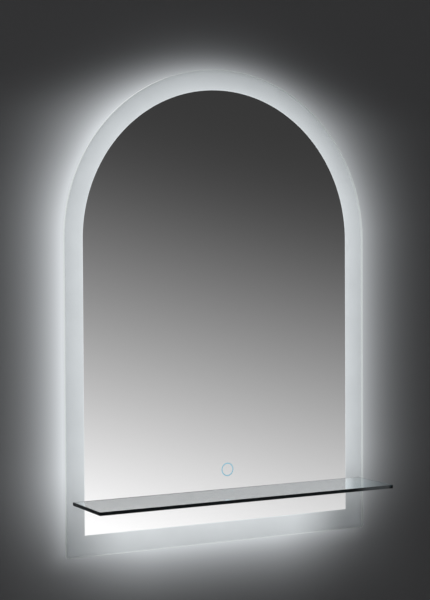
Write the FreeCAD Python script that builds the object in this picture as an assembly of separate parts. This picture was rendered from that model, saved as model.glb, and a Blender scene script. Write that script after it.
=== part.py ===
"""Arched wall mirror with a light frame behind it, a touch switch, a demister and a glass shelf.

Millimetres.  X runs to the right as seen from the front, Y runs back into the wall and Z up.
The origin is midway between the two screw slots of the wall rail, on the wall's surface.
Depths are Y values: the wall is at 0 and everything lies in front of it, at negative Y.
"""
import FreeCAD, Part
import math
import os
from FreeCAD import Placement, Rotation, Vector

# Glass plate: a rectangle under a half round arch as wide as the plate
plate_width = 500.0
plate_height = 700.0
plate_thickness = 5.0
plate_corner_radius = 3.0
plate_arris = 0.6
border_width = 30.0
coating_thickness = 0.3

# Glass shelf, bonded to the front of the plate
shelf_width = 480.0
shelf_depth = 95.0
shelf_thickness = 5.0
shelf_top_height = 80.0
shelf_corner_radius = 1.5
shelf_arris = 0.5
bond_thickness = 0.3
bond_end_margin = 2.0

# Light frame: a channel that opens outwards, bent along the plate's outline
frame_inset = 42.0
frame_width = 10.0
frame_depth = 18.5
frame_web = 2.0
frame_flange = 2.5
tape_thickness = 1.1
tape_width = 8.0

# Light strips in the channel, and the opal covers that close it
strip_width = 10.0
strip_thickness = 0.4
strip_corner_gap = 24.0
chip_length = 3.5
chip_width = 2.8
chip_height = 0.7
chip_pitch = 16.7
cover_thickness = 1.5

# Corner keys inside the frame's two mitred corners
key_leg = 20.0
key_width = 12.0
key_thickness = 2.0
key_screw_offset = 14.0
key_screw_length = 3.8

# Back plate and its screws
back_thickness = 1.2
back_margin = 0.5
back_screw_length = 4.0
below_screw_count = 3
side_screw_count = 3
arch_screw_count = 5

# Small pan head screw with a cross recess
screw_radius = 1.5
screw_head_radius = 3.0
screw_head_height = 1.6
screw_hole_gap = 0.1
recess_width = 0.8
recess_share = 0.6

# Hanging rail on the wall and the cleat on the mirror: two stepped strips that hook together.
# The top offset is from the top of the plate down to the rail's screw slots.
rail_top_offset = 180.0
rail_length = 300.0
rail_base_height = 22.0
rail_slot_spacing = 220.0
rail_slot_radius = 2.6
rail_slot_length = 16.0
hook_thickness = 1.5
hook_clearance = 0.3
hook_depth = 10.0
hook_floor_gap = 1.0
cleat_length = 260.0
cleat_base_height = 18.0
rivet_count = 4
rivet_spacing = 70.0
rivet_radius = 2.0
rivet_head_radius = 4.0
rivet_head_height = 1.2
rivet_tail_radius = 3.0
rivet_tail_height = 1.8

# Rubber feet that keep the lower end of the mirror off the wall
foot_radius = 9.0
foot_edge = 0.8
foot_side_margin = 90.0
foot_height = 80.0

# Cable grommet in the back plate
grommet_side_margin = 145.0
grommet_height = 150.0
cable_radius = 4.0
grommet_neck_radius = 7.0
grommet_flange_radius = 10.0
grommet_flange = 2.0
grommet_clearance = 0.1

# Touch switch behind the silver
touch_height = 107.5
touch_offset = 10.5
touch_ring_radius = 10.0
touch_ring_line = 1.6
touch_window_gap = 0.1
touch_case_width = 44.0
touch_case_height = 34.0
touch_case_depth = 9.0
touch_case_radius = 3.0
touch_wall = 1.5
touch_lid_thickness = 1.2
touch_board_depth = 5.5
touch_board_thickness = 1.2
touch_board_gap = 0.15
touch_light_size = 2.0
touch_light_height = 0.8
touch_light_count = 4
electrode_radius = 7.5
electrode_thickness = 0.3

# Demister pad on the back of the silver
demister_side_margin = 110.0
demister_top_margin = 150.0
demister_low_margin = 250.0
demister_radius = 20.0
demister_thickness = 0.4
tail_width = 26.0
tail_height = 14.0
tail_thickness = 4.0
tail_radius = 2.0

# Power supply for the lights
driver_x = 60.0
driver_height = 200.0
driver_case_length = 150.0
driver_case_width = 40.0
driver_case_depth = 15.0
driver_wall = 1.5
driver_lid_thickness = 1.5
driver_board_thickness = 1.6
driver_board_gap = 0.3
driver_post_height = 2.5
driver_stud_offset = 37.5
pad_thickness = 1.0
pad_margin = 4.0
post_radius = 3.0
post_inset = 4.0
post_hole_radius = 1.0
connector_size = 7.0
connector_height = 6.0
transformer_length = 24.0
transformer_width = 20.0
transformer_height = 7.0
capacitor_radius = 3.5
capacitor_length = 16.0
coil_radius = 6.0
coil_height = 6.5

# Small self tapping screw of the two boxes
tapping_radius = 0.95
tapping_length = 8.0
tapping_head_radius = 2.0
tapping_head_height = 1.2

# Terminal box for the supply
terminal_box_length = 64.0
terminal_box_width = 40.0
block_length = 22.0
block_width = 17.0
block_depth = 11.0
block_bore_radius = 1.6
block_screw_radius = 1.3
block_screw_length = 4.0
block_screw_pitch = 10.0

# Leads inside the chassis
lead_clearance = 0.2
supply_lead_radius = 2.5
signal_lead_radius = 1.25
lead_end = 3.0
bend_share = 0.45
lead_step_shares = (0.36, 0.64)
heater_step_shares = (0.46, 0.78)
lower_lead_offset = 37.5
clip_length = 12.0
clip_width = 8.0
clip_cap = 1.5
clip_rise = 18.0

# Depths, from the wall forward
rear_gap = 2 * hook_thickness + 3 * hook_clearance
back_rear = -rear_gap
back_front = back_rear - back_thickness
frame_front = back_front - frame_depth
coating_rear = frame_front - tape_thickness
plate_rear = coating_rear - coating_thickness
plate_front = plate_rear - plate_thickness
shelf_rear = plate_front - bond_thickness
channel_rear = back_front - frame_flange
channel_front = frame_front + frame_flange
light_level = (back_front + frame_front) / 2
case_rear = back_front - pad_thickness
case_front = case_rear - driver_case_depth

# The supply cable comes in and the demister's lead goes up at this X
grommet_x = grommet_side_margin - plate_width / 2

# Heights, from the plate's lower edge up
plate_top = rail_top_offset
plate_bottom = plate_top - plate_height
spring_level = plate_top - plate_width / 2
touch_level = plate_bottom + touch_height
driver_level = plate_bottom + driver_height

FORWARD = Vector(0, -1, 0)
BACKWARD = Vector(0, 1, 0)
UP = Vector(0, 0, 1)
RIGHT = Vector(1, 0, 0)


def box(x_range, y_range, z_range):
    """A block between two values on each axis."""
    low = Vector(min(x_range), min(y_range), min(z_range))
    high = Vector(max(x_range), max(y_range), max(z_range))
    size = high - low
    return Part.makeBox(size.x, size.y, size.z, low)


def centred_box(x, z, width, height, y_range):
    """A block that is width by height about a point, seen from the front."""
    return box((x - width / 2, x + width / 2), y_range, (z - height / 2, z + height / 2))


def edges_along(shape, direction):
    """The straight edges of a shape that run along a direction."""
    found = []
    for edge in shape.Edges:
        if isinstance(edge.Curve, Part.Line) and abs(edge.Curve.Direction.dot(direction)) > 0.999:
            found.append(edge)
    return found


def rounded_box(x, z, width, height, y_range, radius):
    """A centred block whose four edges along Y are rounded."""
    block = centred_box(x, z, width, height, y_range)
    return block.makeFillet(radius, edges_along(block, BACKWARD))


def rod(radius, start, direction, length):
    """A cylinder from a point along a direction."""
    return Part.makeCylinder(radius, length, start, direction)


def placed(shape, origin, direction):
    """The shape with its own +Z turned to a direction and its origin moved to a point."""
    copy = shape.copy()
    copy.Placement = Placement(origin, Rotation(UP, direction))
    return copy


def outline(inset, corner_radius=0.0):
    """The plate's arched outline moved inwards, as a closed wire at depth 0."""
    half = plate_width / 2 - inset
    low = plate_bottom + inset
    radius = corner_radius
    lean = radius * (1 - math.sqrt(0.5))
    right_foot = Vector(half, 0, low + radius)
    right_top = Vector(half, 0, spring_level)
    left_top = Vector(-half, 0, spring_level)
    left_foot = Vector(-half, 0, low + radius)
    floor_left = Vector(-half + radius, 0, low)
    floor_right = Vector(half - radius, 0, low)
    edges = [
        Part.makeLine(floor_left, floor_right),
        Part.makeLine(right_foot, right_top),
        Part.Arc(right_top, Vector(0, 0, spring_level + half), left_top).toShape(),
        Part.makeLine(left_top, left_foot),
    ]
    if radius > 0:
        right_mid = Vector(half - lean, 0, low + lean)
        left_mid = Vector(-half + lean, 0, low + lean)
        edges.insert(1, Part.Arc(floor_right, right_mid, right_foot).toShape())
        edges.append(Part.Arc(left_foot, left_mid, floor_left).toShape())
    return Part.Wire(edges)


def arched_slab(inset, front, rear, corner_radius=0.0):
    """A slab of the arched outline between two depths."""
    face = Part.Face(outline(inset, corner_radius))
    face.translate(Vector(0, front, 0))
    return face.extrude(Vector(0, rear - front, 0))


def arched_ring(outer_inset, inner_inset, front, rear):
    """A closed band that follows the outline between two insets and two depths."""
    return arched_slab(outer_inset, front, rear).cut(arched_slab(inner_inset, front, rear))


def mitre_wedge():
    """The space under the mitre planes of the frame's two lower corners."""
    half = plate_width / 2 - frame_inset
    low = plate_bottom + frame_inset
    out = frame_width
    into = 2 * frame_width
    corners = [
        Vector(-half - out, frame_front, low - out),
        Vector(half + out, frame_front, low - out),
        Vector(half - into, frame_front, low + into),
        Vector(-half + into, frame_front, low + into),
    ]
    face = Part.Face(Part.makePolygon(corners + corners[:1]))
    return face.extrude(Vector(0, frame_depth, 0))


def cross_recess(radius, depth):
    """The cross cut into a screw's head, open towards +Z from height 0."""
    bar = Part.makeBox(2 * radius, recess_width, depth, Vector(-radius, -recess_width / 2, -depth))
    other = Part.makeBox(recess_width, 2 * radius, depth, Vector(-recess_width / 2, -radius, -depth))
    return bar.fuse(other)


def pan_screw(radius, length, head_radius, head_height):
    """A screw with its seat at the origin, its shank along -Z and its domed head along +Z."""
    shank = Part.makeCylinder(radius, length, Vector(0, 0, -length))
    head = Part.makeCylinder(head_radius, head_height)
    rim = [edge for edge in head.Edges if edge.BoundBox.ZMin > head_height / 2]
    head = head.makeFillet(head_height / 2, rim)
    recess = cross_recess(head_radius * recess_share, head_height * recess_share)
    recess.translate(Vector(0, 0, head_height))
    return shank.fuse(head).cut(recess).removeSplitter()


def lead(points, radius):
    """A round lead along straight runs, joined by arcs as large as the runs allow."""
    edges = []
    start = points[0]
    for before, corner, after in zip(points, points[1:], points[2:]):
        arriving = corner - before
        leaving = after - corner
        turn = arriving.getAngle(leaving)
        back = bend_share * min(arriving.Length, leaving.Length)
        bend = back / math.tan(turn / 2)
        arriving.normalize()
        leaving.normalize()
        arc_start = corner - arriving * back
        arc_end = corner + leaving * back
        inward = leaving - arriving
        inward.normalize()
        middle = corner + inward * (bend / math.cos(turn / 2) - bend)
        edges.append(Part.makeLine(start, arc_start))
        edges.append(Part.Arc(arc_start, middle, arc_end).toShape())
        start = arc_end
    edges.append(Part.makeLine(start, points[-1]))
    section = Part.Wire(Part.makeCircle(radius, points[0], points[1] - points[0]))
    return Part.Wire(edges).makePipeShell([section], True, False)


def spread(count, low, high):
    """Values at equal steps between two ends, half a step in from each."""
    step = (high - low) / count
    return [low + step * (index + 0.5) for index in range(count)]


def glass_plate():
    """The plate with rounded lower corners and ground arrises front and back."""
    plate = arched_slab(0, plate_front, plate_rear, plate_corner_radius)
    flat = plate_thickness / 4
    rims = [edge for edge in plate.Edges if edge.BoundBox.YLength < flat]
    return {"mirror_glass": plate.makeChamfer(plate_arris, rims)}


def coatings():
    """The silvered field with its ring window, and the etched border round it."""
    field = arched_slab(border_width, plate_rear, coating_rear)
    centre = Vector(touch_offset, plate_rear, touch_level)
    window = rod(touch_ring_radius, centre, BACKWARD, coating_thickness)
    island = rod(touch_ring_radius - touch_ring_line, centre, BACKWARD, coating_thickness)
    rim = plate_corner_radius - plate_arris
    border = arched_slab(plate_arris, plate_rear, coating_rear, rim)
    border = border.cut(arched_slab(border_width, plate_rear, coating_rear))
    return {"silver_coating": field.cut(window.cut(island)), "frosted_border": border}


def shelf():
    """The shelf glass and the clear bond line along its back edge."""
    top = plate_bottom + shelf_top_height
    low = top - shelf_thickness
    half = shelf_width / 2
    glass = box((-half, half), (shelf_rear - shelf_depth, shelf_rear), (low, top))
    front = [edge for edge in edges_along(glass, UP) if edge.BoundBox.YMax < shelf_rear - shelf_depth / 2]
    glass = glass.makeFillet(shelf_corner_radius, front)
    flat = shelf_thickness / 4
    rims = [edge for edge in glass.Edges if edge.BoundBox.ZLength < flat]
    glass = glass.makeChamfer(shelf_arris, rims)
    bond_half = half - shelf_arris - bond_end_margin
    bond = box((-bond_half, bond_half), (shelf_rear, plate_front), (low + shelf_arris, top - shelf_arris))
    return {"shelf_glass": glass, "shelf_bond": bond}


def key_screw_places():
    """Seat and outward direction of the screws that hold the corner keys."""
    half = plate_width / 2 - frame_inset - frame_width
    low = plate_bottom + frame_inset + frame_width
    seats = []
    for side in (-1, 1):
        upright = Vector(side * (half - key_thickness), light_level, low + key_screw_offset)
        flat = Vector(side * (half - key_screw_offset), light_level, low + key_thickness)
        seats.append((upright, Vector(-side, 0, 0)))
        seats.append((flat, UP))
    return seats


def perimeter_screw_places():
    """Seats of the back plate's screws, on the middle line of the frame."""
    inset = frame_inset + frame_width / 2
    half = plate_width / 2 - inset
    low = plate_bottom + inset
    seats = [(x, low) for x in spread(below_screw_count, -half, half)]
    for z in spread(side_screw_count, low, spring_level):
        seats += [(-half, z), (half, z)]
    for angle in spread(arch_screw_count, 0, math.pi):
        seats.append((half * math.cos(angle), spring_level + half * math.sin(angle)))
    return [Vector(x, back_rear, z) for x, z in seats]


def feed_points():
    """Where the two light leads go through the web of the frame, and the way they run."""
    half = plate_width / 2 - frame_inset - frame_width
    low = plate_bottom + frame_inset + frame_width
    side = Vector(half, light_level, driver_level)
    below = Vector(driver_x + driver_case_length / 2, light_level, low)
    return side, below


def light_frame():
    """The bent upper channel, the straight lower one, the keys in their corners and the tape."""
    inner = frame_inset + frame_width
    channel = arched_ring(frame_inset, inner, frame_front, back_front)
    hollow = arched_ring(frame_inset, inner - frame_web, channel_front, channel_rear)
    frame = channel.cut(hollow)
    for seat, direction in key_screw_places():
        frame = frame.cut(rod(screw_radius + screw_hole_gap, seat, -direction, key_thickness + frame_web))
    for seat in perimeter_screw_places():
        depth = back_thickness + frame_flange
        frame = frame.cut(rod(screw_radius + screw_hole_gap, seat, FORWARD, depth))
    side, below = feed_points()
    feed_radius = signal_lead_radius + lead_clearance
    frame = frame.cut(rod(feed_radius, side, RIGHT, frame_web))
    frame = frame.cut(rod(feed_radius, below, -UP, frame_web))
    wedge = mitre_wedge()
    tape_inset = frame_inset + (frame_width - tape_width) / 2
    tape = arched_ring(tape_inset, tape_inset + tape_width, coating_rear, frame_front)
    return {
        "light_frame_arch": frame.cut(wedge),
        "light_frame_base": frame.common(wedge),
        "bond_tape": tape,
    }


def corner_keys():
    """Two L shaped keys inside the mitred corners, and their four screws."""
    half = plate_width / 2 - frame_inset - frame_width
    low = plate_bottom + frame_inset + frame_width
    depth = (light_level - key_width / 2, light_level + key_width / 2)
    keys = []
    for side in (-1, 1):
        flat = box((side * (half - key_leg), side * half), depth, (low, low + key_thickness))
        upright = box((side * (half - key_thickness), side * half), depth, (low, low + key_leg))
        keys.append(flat.fuse(upright).removeSplitter())
    screw = pan_screw(screw_radius, key_screw_length, screw_head_radius, screw_head_height)
    screws = []
    for seat, direction in key_screw_places():
        hole = rod(screw_radius + screw_hole_gap, seat, -direction, key_thickness)
        keys = [key.cut(hole) for key in keys]
        screws.append(placed(screw, seat, direction))
    return {"corner_keys": Part.makeCompound(keys), "corner_key_screws": Part.makeCompound(screws)}


def strip_stations(length):
    """Distances of the light chips along a strip, at an even pitch about its middle."""
    count = int((length - chip_width) // chip_pitch) + 1
    first = (length - (count - 1) * chip_pitch) / 2
    return [first + index * chip_pitch for index in range(count)]


def light_strips():
    """The flexible strips on the web, with their chips, and the opal covers of the channel."""
    web_face = frame_inset + frame_width - frame_web
    strip_face = web_face - strip_thickness
    depth = (light_level - strip_width / 2, light_level + strip_width / 2)
    half = plate_width / 2 - strip_face
    low = plate_bottom + frame_inset + frame_width + strip_corner_gap
    end = half - strip_corner_gap
    upper = arched_ring(strip_face, web_face, depth[0], depth[1])
    upper = upper.cut(box((-plate_width, plate_width), depth, (plate_bottom, low)))
    floor = plate_bottom + strip_face
    base = box((-end, end), depth, (floor, floor + strip_thickness))

    chip = Part.makeBox(chip_width, chip_length, chip_height, Vector(-chip_width / 2, -chip_length / 2, 0))
    leg = spring_level - low
    bow = math.pi * half
    arch_chips = []
    for distance in strip_stations(2 * leg + bow):
        if distance < leg:
            seat = Vector(-half, light_level, low + distance)
            outward = -RIGHT
        elif distance < leg + bow:
            angle = math.pi - (distance - leg) / half
            outward = Vector(math.cos(angle), 0, math.sin(angle))
            seat = Vector(0, light_level, spring_level) + outward * half
        else:
            seat = Vector(half, light_level, spring_level - (distance - leg - bow))
            outward = RIGHT
        arch_chips.append(placed(chip, seat, outward))
    base_chips = []
    for distance in strip_stations(2 * end):
        base_chips.append(placed(chip, Vector(distance - end, light_level, floor), -UP))

    cover = arched_ring(frame_inset, frame_inset + cover_thickness, channel_front, channel_rear)
    wedge = mitre_wedge()
    return {
        "light_strip_arch": upper,
        "light_strip_base": base,
        "light_chips_arch": Part.makeCompound(arch_chips),
        "light_chips_base": Part.makeCompound(base_chips),
        "opal_cover_arch": cover.cut(wedge),
        "opal_cover_base": cover.common(wedge),
    }


def rivet_places():
    """Where the cleat's rivets stand, in the middle of its base."""
    z = cleat_seat() + hook_thickness + (cleat_base_height - hook_thickness) / 2
    first = -rivet_spacing * (rivet_count - 1) / 2
    return [Vector(first + rivet_spacing * index, 0, z) for index in range(rivet_count)]


def rail_step():
    """Height of the upper side of the rail's step, which is the floor of its slot."""
    return rail_base_height / 2


def cleat_seat():
    """Height of the top of the rail's lip, on which the cleat's step rests."""
    return rail_step() + hook_depth


def hooks():
    """The wall rail, and the cleat on the back plate that drops in behind its lip."""
    half_rail = rail_length / 2
    half_cleat = cleat_length / 2
    step = rail_step()
    seat = cleat_seat()
    lip_rear = -2 * hook_clearance - hook_thickness
    lip_front = lip_rear - hook_thickness
    across = (-half_rail, half_rail)
    rail = box(across, (-hook_thickness, 0), (-rail_base_height / 2, step))
    rail = rail.fuse(box(across, (lip_front, 0), (step - hook_thickness, step)))
    rail = rail.fuse(box(across, (lip_front, lip_rear), (step - hook_thickness, seat)))
    reach = rail_slot_length / 2 - rail_slot_radius
    for centre in (-rail_slot_spacing / 2, rail_slot_spacing / 2):
        height = (-rail_slot_radius, rail_slot_radius)
        slot = box((centre - reach, centre + reach), (-hook_thickness, 0), height)
        for x in (centre - reach, centre + reach):
            slot = slot.fuse(rod(rail_slot_radius, Vector(x, -hook_thickness, 0), BACKWARD, hook_thickness))
        rail = rail.cut(slot.removeSplitter())

    across = (-half_cleat, half_cleat)
    base_rear = back_rear + hook_thickness
    tongue = (-hook_clearance - hook_thickness, -hook_clearance)
    cleat = box(across, (back_rear, base_rear), (seat, seat + cleat_base_height))
    cleat = cleat.fuse(box(across, (back_rear, -hook_clearance), (seat, seat + hook_thickness)))
    cleat = cleat.fuse(box(across, tongue, (step + hook_floor_gap, seat + hook_thickness)))
    rivets = []
    grip = hook_thickness + back_thickness
    for place in rivet_places():
        head_seat = place + Vector(0, base_rear, 0)
        cleat = cleat.cut(rod(rivet_radius + screw_hole_gap, head_seat, FORWARD, hook_thickness))
        head = rod(rivet_head_radius, head_seat, BACKWARD, rivet_head_height)
        rim = [edge for edge in head.Edges if edge.BoundBox.YMin > head_seat.y + rivet_head_height / 2]
        head = head.makeFillet(rivet_head_height / 2, rim)
        tail_start = head_seat + FORWARD * grip
        tail = rod(rivet_tail_radius, tail_start, FORWARD, rivet_tail_height)
        shank = rod(rivet_radius, head_seat, FORWARD, grip)
        rivets.append(head.fuse(shank).fuse(tail).removeSplitter())
    return {
        "wall_rail": rail.removeSplitter(),
        "hanging_cleat": cleat.removeSplitter(),
        "cleat_rivets": Part.makeCompound(rivets),
    }


def grommet_centre(depth):
    return Vector(grommet_x, depth, plate_bottom + grommet_height)


def back_plate():
    """The rear cover with its screws, its rubber feet and the cable grommet."""
    plate = arched_slab(frame_inset + back_margin, back_front, back_rear)
    screw = pan_screw(screw_radius, back_screw_length, screw_head_radius, screw_head_height)
    screws = []
    for seat in perimeter_screw_places():
        plate = plate.cut(rod(screw_radius + screw_hole_gap, seat, FORWARD, back_thickness))
        screws.append(placed(screw, seat, BACKWARD))
    for place in rivet_places():
        hole_start = place + Vector(0, back_rear, 0)
        plate = plate.cut(rod(rivet_radius + screw_hole_gap, hole_start, FORWARD, back_thickness))
    hole_radius = grommet_neck_radius + grommet_clearance
    plate = plate.cut(rod(hole_radius, grommet_centre(back_rear), FORWARD, back_thickness))

    flange_rear = back_rear + grommet_flange
    flange_front = back_front - grommet_flange
    rear = rod(grommet_flange_radius, grommet_centre(flange_rear), FORWARD, grommet_flange)
    neck = rod(grommet_neck_radius, grommet_centre(flange_rear), FORWARD, flange_rear - flange_front)
    front = rod(grommet_flange_radius, grommet_centre(back_front), FORWARD, grommet_flange)
    bore = rod(cable_radius, grommet_centre(flange_rear), FORWARD, flange_rear - flange_front)
    grommet = rear.fuse(neck).fuse(front).cut(bore).removeSplitter()

    feet = []
    reach = plate_width / 2 - foot_side_margin
    for x in (-reach, reach):
        foot = rod(foot_radius, Vector(x, back_rear, plate_bottom + foot_height), BACKWARD, rear_gap)
        rim = [edge for edge in foot.Edges if edge.BoundBox.YMin > -rear_gap / 2]
        feet.append(foot.makeFillet(foot_edge, rim))
    return {
        "back_plate": plate,
        "back_plate_screws": Part.makeCompound(screws),
        "cable_grommet": grommet,
        "wall_feet": Part.makeCompound(feet),
    }


def touch_switch():
    """The touch switch: its case and lid, lit ring, electrode, foam and board with blue lights."""
    case_back = coating_rear + touch_case_depth
    board_front = coating_rear + touch_board_depth
    board_rear = board_front + touch_board_thickness
    lid_front = case_back - touch_lid_thickness
    hollow_width = touch_case_width - 2 * touch_wall
    hollow_height = touch_case_height - 2 * touch_wall
    hollow_radius = touch_case_radius - touch_wall
    outside = rounded_box(touch_offset, touch_level, touch_case_width, touch_case_height,
                          (coating_rear, case_back), touch_case_radius)
    inside = rounded_box(touch_offset, touch_level, hollow_width, hollow_height,
                         (coating_rear + touch_wall, case_back), hollow_radius)
    centre = Vector(touch_offset, coating_rear, touch_level)
    eye = rod(touch_ring_radius + touch_window_gap, centre, BACKWARD, touch_wall)
    wire_hole = rod(signal_lead_radius + lead_clearance, touch_lead_start(), UP, touch_case_height / 2)
    case = outside.cut(inside).cut(eye).cut(wire_hole)

    slack = 2 * touch_board_gap
    board = rounded_box(touch_offset, touch_level, hollow_width - slack, hollow_height - slack,
                        (board_front, board_rear), hollow_radius)
    lid = rounded_box(touch_offset, touch_level, hollow_width - slack, hollow_height - slack,
                      (lid_front, case_back), hollow_radius)
    ring_outer = touch_ring_radius - touch_window_gap
    ring_inner = touch_ring_radius - touch_ring_line + touch_window_gap
    ring_length = board_front - touch_light_height - plate_rear
    ring_start = Vector(touch_offset, plate_rear, touch_level)
    ring = rod(ring_outer, ring_start, BACKWARD, ring_length)
    ring = ring.cut(rod(ring_inner, ring_start, BACKWARD, ring_length))
    electrode = rod(electrode_radius, centre, BACKWARD, electrode_thickness)
    foam_start = centre + BACKWARD * electrode_thickness
    foam = rod(electrode_radius, foam_start, BACKWARD, touch_board_depth - electrode_thickness)
    lights = []
    line_radius = touch_ring_radius - touch_ring_line / 2
    for angle in spread(touch_light_count, 0, 2 * math.pi):
        x = touch_offset + line_radius * math.cos(angle)
        z = touch_level + line_radius * math.sin(angle)
        lights.append(centred_box(x, z, touch_light_size, touch_light_size,
                                  (board_front - touch_light_height, board_front)))
    return {
        "touch_case": case,
        "touch_lid": lid,
        "touch_board": board,
        "touch_ring": ring,
        "touch_electrode": electrode,
        "touch_foam": foam,
        "touch_lights": Part.makeCompound(lights),
    }


def touch_lead_start():
    """End of the touch lead, on the front of its board under the top wall of the case."""
    depth = coating_rear + touch_board_depth - signal_lead_radius
    return Vector(touch_offset, depth, touch_level + touch_case_height / 2 - touch_wall - lead_end)


def tail_centre():
    """Centre of the demister's tail cover, just above the pad's lower edge."""
    return grommet_x, plate_bottom + demister_low_margin + tail_height / 2 + tail_radius


def demister():
    """The heating pad and the cover of its solder tail."""
    pad_rear = coating_rear + demister_thickness
    low = plate_bottom + demister_low_margin
    top = plate_top - demister_top_margin
    width = plate_width - 2 * demister_side_margin
    pad = rounded_box(0, (low + top) / 2, width, top - low, (coating_rear, pad_rear), demister_radius)
    x, z = tail_centre()
    tail = rounded_box(x, z, tail_width, tail_height, (pad_rear, pad_rear + tail_thickness), tail_radius)
    return {"demister_pad": pad, "demister_tail": tail}


def open_case(x, z, length, width, lead_holes):
    """A shallow case open at the front, with two screw posts in opposite corners."""
    lid_rear = case_front + driver_lid_thickness
    case = centred_box(x, z, length, width, (lid_rear, case_rear))
    hollow = centred_box(x, z, length - 2 * driver_wall, width - 2 * driver_wall,
                         (lid_rear, case_rear - driver_wall))
    case = case.cut(hollow)
    for px, pz in post_places(x, z, length, width):
        post = rod(post_radius, Vector(px, case_rear - driver_wall, pz), FORWARD,
                   case_rear - driver_wall - lid_rear)
        case = case.fuse(post)
    for px, pz in post_places(x, z, length, width):
        case = case.cut(rod(post_hole_radius, Vector(px, lid_rear, pz), BACKWARD, tapping_length))
    for hole in lead_holes:
        case = case.cut(hole)
    return case.removeSplitter()


def post_places(x, z, length, width):
    """Centres of the two screw posts of a case."""
    dx = length / 2 - post_inset
    dz = width / 2 - post_inset
    return [(x - dx, z + dz), (x + dx, z - dz)]


def case_lid(x, z, length, width):
    """The flat lid of a case and its two screws."""
    lid = centred_box(x, z, length, width, (case_front, case_front + driver_lid_thickness))
    screw = pan_screw(tapping_radius, tapping_length, tapping_head_radius, tapping_head_height)
    screws = []
    for px, pz in post_places(x, z, length, width):
        seat = Vector(px, case_front, pz)
        hole = rod(post_hole_radius, seat, BACKWARD, driver_lid_thickness)
        lid = lid.cut(hole)
        screws.append(placed(screw, seat, FORWARD))
    return lid, Part.makeCompound(screws)


def tape_pad(x, z, length, width):
    """The foam pad that holds a case on the back plate."""
    return centred_box(x, z, length - 2 * pad_margin, width - 2 * pad_margin, (case_rear, back_front))


def driver_board_front():
    """Depth of the front of the power supply's board."""
    return case_rear - driver_wall - driver_post_height - driver_board_thickness


def supply_level():
    """Depth of the supply lead, which runs just over the power supply's board."""
    return driver_board_front() - supply_lead_radius - lead_clearance


def driver_ends():
    """X of the power supply's left and right ends, and Z of its lower side."""
    left = driver_x - driver_case_length / 2
    right = driver_x + driver_case_length / 2
    return left, right, driver_level - driver_case_width / 2


def connector_places():
    """Centres of the supply's four connectors: supply in, side light, lower light and touch switch."""
    left, right, low = driver_ends()
    inset = driver_wall + lead_end + connector_size / 2
    return {
        "supply": (left + inset, driver_level),
        "side": (right - inset, driver_level),
        "lower": (lower_lead_x(), low + inset),
        "touch": (0.0, low + inset),
    }


def lower_lead_x():
    """X at which the lower light lead leaves the power supply."""
    return driver_x + lower_lead_offset


def power_supply():
    """The supply's case, lid, board and main components."""
    left, right, low = driver_ends()
    board_front = driver_board_front()
    board_rear = board_front + driver_board_thickness
    thin = signal_lead_radius + lead_clearance
    thick = supply_lead_radius + lead_clearance
    holes = [
        rod(thick, Vector(left, supply_level(), driver_level), RIGHT, driver_wall),
        rod(thin, Vector(right, light_level, driver_level), -RIGHT, driver_wall),
        rod(thin, Vector(lower_lead_x(), light_level, low), UP, driver_wall),
        rod(thin, Vector(0, light_level, low), UP, driver_wall),
    ]
    size = (driver_x, driver_level, driver_case_length, driver_case_width)
    case = open_case(*size, holes)
    for x in (driver_x - driver_stud_offset, driver_x + driver_stud_offset):
        stud = rod(post_radius, Vector(x, case_rear - driver_wall, driver_level), FORWARD, driver_post_height)
        case = case.fuse(stud)
    lid, screws = case_lid(*size)
    slack = 2 * (driver_wall + driver_board_gap)
    board = centred_box(driver_x, driver_level, driver_case_length - slack, driver_case_width - slack,
                        (board_front, board_rear))
    for px, pz in post_places(*size):
        corner = post_radius + driver_board_gap
        board = board.cut(centred_box(px, pz, 2 * corner + driver_wall, 2 * corner + driver_wall,
                                      (board_front, board_rear)))

    taken = driver_wall + lead_end + connector_size
    capacitor_x, transformer_x, coil_x = spread(3, left + taken, right - taken)
    parts = []
    parts.append(centred_box(transformer_x, driver_level, transformer_length, transformer_width,
                             (board_front - transformer_height, board_front)))
    for side in (-1, 1):
        z = driver_level + side * (capacitor_radius + driver_board_gap)
        start = Vector(capacitor_x - capacitor_length / 2, board_front - capacitor_radius, z)
        parts.append(rod(capacitor_radius, start, RIGHT, capacitor_length))
    coil_centre = Vector(coil_x, board_front, driver_level)
    coil = rod(coil_radius, coil_centre, FORWARD, coil_height)
    parts.append(coil.cut(rod(coil_radius / 2, coil_centre, FORWARD, coil_height)))
    connectors = []
    for x, z in connector_places().values():
        connectors.append(centred_box(x, z, connector_size, connector_size,
                                      (board_front - connector_height, board_front)))
    return {
        "driver_case": case.removeSplitter(),
        "driver_lid": lid,
        "driver_lid_screws": screws,
        "driver_board": board,
        "driver_parts": Part.makeCompound(parts),
        "driver_connectors": Part.makeCompound(connectors),
        "driver_pad": tape_pad(*size),
    }


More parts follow.
